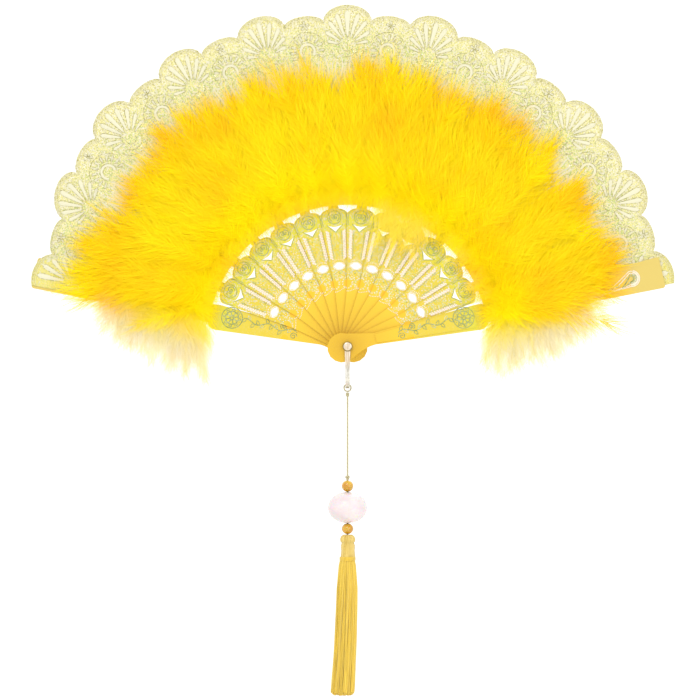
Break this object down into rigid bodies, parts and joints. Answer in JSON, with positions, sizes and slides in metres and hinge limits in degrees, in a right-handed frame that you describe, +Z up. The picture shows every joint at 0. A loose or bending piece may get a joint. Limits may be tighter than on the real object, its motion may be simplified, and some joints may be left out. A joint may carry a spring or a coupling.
{
  "type": "feather fan",
  "caption": "Folding hand fan with pierced plastic sticks, a pleated lace leaf, a trim of down feathers and a hanging beaded tassel.",
  "frame": {"origin": "on the rivet's axis, midway through the stack of sticks", "axes": "+X to the right along the open fan's width, +Z up along its middle, and the decorated front looks along -Y"},
  "size_m": [0.4181, 0.0348, 0.449],
  "materials": {
    "plastic": "moulded, printed",
    "lace": "glitter lace",
    "feather": "fluffy",
    "steel": "bright",
    "silk": "silky thread",
    "amber": "translucent",
    "milky": "milky"
  },
  "bodies": {
    "rear_guard": {"rear_guard": "plastic", "leaf_rear_guard": "lace", "down_rear_guard": "feather"},
    "rib_01": {"rib_01": "plastic", "leaf_rib_01": "lace", "down_rib_01": "feather"},
    "rib_02": {"rib_02": "plastic", "leaf_rib_02": "lace", "down_rib_02": "feather"},
    "rib_03": {"rib_03": "plastic", "leaf_rib_03": "lace", "down_rib_03": "feather"},
    "rib_04": {"rib_04": "plastic", "leaf_rib_04": "lace", "down_rib_04": "feather"},
    "rib_05": {"rib_05": "plastic", "leaf_rib_05": "lace", "down_rib_05": "feather"},
    "rib_06": {"rib_06": "plastic", "leaf_rib_06": "lace", "down_rib_06": "feather"},
    "centre_rib": {"rib_07": "plastic", "leaf_rib_07": "lace", "down_rib_07": "feather", "rivet": "steel"},
    "rib_08": {"rib_08": "plastic", "leaf_rib_08": "lace", "down_rib_08": "feather"},
    "rib_09": {"rib_09": "plastic", "leaf_rib_09": "lace", "down_rib_09": "feather"},
    "rib_10": {"rib_10": "plastic", "leaf_rib_10": "lace", "down_rib_10": "feather"},
    "rib_11": {"rib_11": "plastic", "leaf_rib_11": "lace", "down_rib_11": "feather"},
    "rib_12": {"rib_12": "plastic", "leaf_rib_12": "lace", "down_rib_12": "feather"},
    "front_guard": {"front_guard": "plastic", "leaf_front_guard": "lace", "down_front_guard": "feather"},
    "bail": {"bail": "steel"},
    "tassel": {"cord_loop": "silk", "cord_hitch": "silk", "tassel_cord": "silk", "cord_knot": "silk", "upper_bead": "amber", "lower_bead": "amber", "tassel_cap": "silk", "end_knot": "silk", "tassel_binding": "silk", "tassel_skirt": "silk"},
    "large_bead": {"large_bead": "milky"}
  },
  "joints": [
    {"name": "fan_fold", "type": "hinge", "parent": "centre_rib", "child": "rib_08", "pos_m": [0, 0, 0], "axis": [0, -1, 0], "range_deg": [0, 11.79], "deforming": ["leaf_rib_08", "down_rib_08", "leaf_rib_07", "down_rib_07"]},
    {"name": "fold_09", "type": "hinge", "parent": "rib_08", "child": "rib_09", "pos_m": [0, 0, 0], "axis": [0, -1, 0], "range_deg": [0, 11.79], "deforming": ["leaf_rib_09", "down_rib_09"]},
    {"name": "fold_10", "type": "hinge", "parent": "rib_09", "child": "rib_10", "pos_m": [0, 0, 0], "axis": [0, -1, 0], "range_deg": [0, 11.79], "deforming": ["leaf_rib_10", "down_rib_10"]},
    {"name": "fold_11", "type": "hinge", "parent": "rib_10", "child": "rib_11", "pos_m": [0, 0, 0], "axis": [0, -1, 0], "range_deg": [0, 11.79], "deforming": ["leaf_rib_11", "down_rib_11"]},
    {"name": "fold_12", "type": "hinge", "parent": "rib_11", "child": "rib_12", "pos_m": [0, 0, 0], "axis": [0, -1, 0], "range_deg": [0, 11.79], "deforming": ["leaf_rib_12", "down_rib_12"]},
    {"name": "fold_13", "type": "hinge", "parent": "rib_12", "child": "front_guard", "pos_m": [0, 0, 0], "axis": [0, -1, 0], "range_deg": [0, 11.79], "deforming": ["leaf_front_guard", "down_front_guard"]},
    {"name": "fold_07", "type": "hinge", "parent": "centre_rib", "child": "rib_06", "pos_m": [0, 0, 0], "axis": [0, 1, 0], "range_deg": [0, 11.79], "deforming": ["leaf_rib_06", "down_rib_06"]},
    {"name": "fold_06", "type": "hinge", "parent": "rib_06", "child": "rib_05", "pos_m": [0, 0, 0], "axis": [0, 1, 0], "range_deg": [0, 11.79], "deforming": ["leaf_rib_05", "down_rib_05"]},
    {"name": "fold_05", "type": "hinge", "parent": "rib_05", "child": "rib_04", "pos_m": [0, 0, 0], "axis": [0, 1, 0], "range_deg": [0, 11.79], "deforming": ["leaf_rib_04", "down_rib_04"]},
    {"name": "fold_04", "type": "hinge", "parent": "rib_04", "child": "rib_03", "pos_m": [0, 0, 0], "axis": [0, 1, 0], "range_deg": [0, 11.79], "deforming": ["leaf_rib_03", "down_rib_03"]},
    {"name": "fold_03", "type": "hinge", "parent": "rib_03", "child": "rib_02", "pos_m": [0, 0, 0], "axis": [0, 1, 0], "range_deg": [0, 11.79], "deforming": ["leaf_rib_02", "down_rib_02"]},
    {"name": "fold_02", "type": "hinge", "parent": "rib_02", "child": "rib_01", "pos_m": [0, 0, 0], "axis": [0, 1, 0], "range_deg": [0, 11.79], "deforming": ["leaf_rib_01", "down_rib_01"]},
    {"name": "fold_01", "type": "hinge", "parent": "rib_01", "child": "rear_guard", "pos_m": [0, 0, 0], "axis": [0, 1, 0], "range_deg": [0, 11.79], "deforming": ["leaf_rear_guard", "down_rear_guard"]},
    {"name": "bail_swing", "type": "hinge", "parent": "centre_rib", "child": "bail", "pos_m": [0, 0, 0], "axis": [0, 1, 0], "range_deg": [-60, 60]},
    {"name": "tassel_swing", "type": "hinge", "parent": "bail", "child": "tassel", "pos_m": [0, 0, -0.0269], "axis": [1, 0, 0], "range_deg": [-35, 35]},
    {"name": "large_bead_spin", "type": "hinge", "parent": "tassel", "child": "large_bead", "pos_m": [0, 0, -0.1047], "axis": [0, 0, 1], "continuous": true}
  ],
  "couplings": [
    {"joint": "fold_09", "follows": "fan_fold", "ratio": 1},
    {"joint": "fold_10", "follows": "fan_fold", "ratio": 1},
    {"joint": "fold_11", "follows": "fan_fold", "ratio": 1},
    {"joint": "fold_12", "follows": "fan_fold", "ratio": 1},
    {"joint": "fold_13", "follows": "fan_fold", "ratio": 1},
    {"joint": "fold_07", "follows": "fan_fold", "ratio": 1},
    {"joint": "fold_06", "follows": "fan_fold", "ratio": 1},
    {"joint": "fold_05", "follows": "fan_fold", "ratio": 1},
    {"joint": "fold_04", "follows": "fan_fold", "ratio": 1},
    {"joint": "fold_03", "follows": "fan_fold", "ratio": 1},
    {"joint": "fold_02", "follows": "fan_fold", "ratio": 1},
    {"joint": "fold_01", "follows": "fan_fold", "ratio": 1}
  ]
}
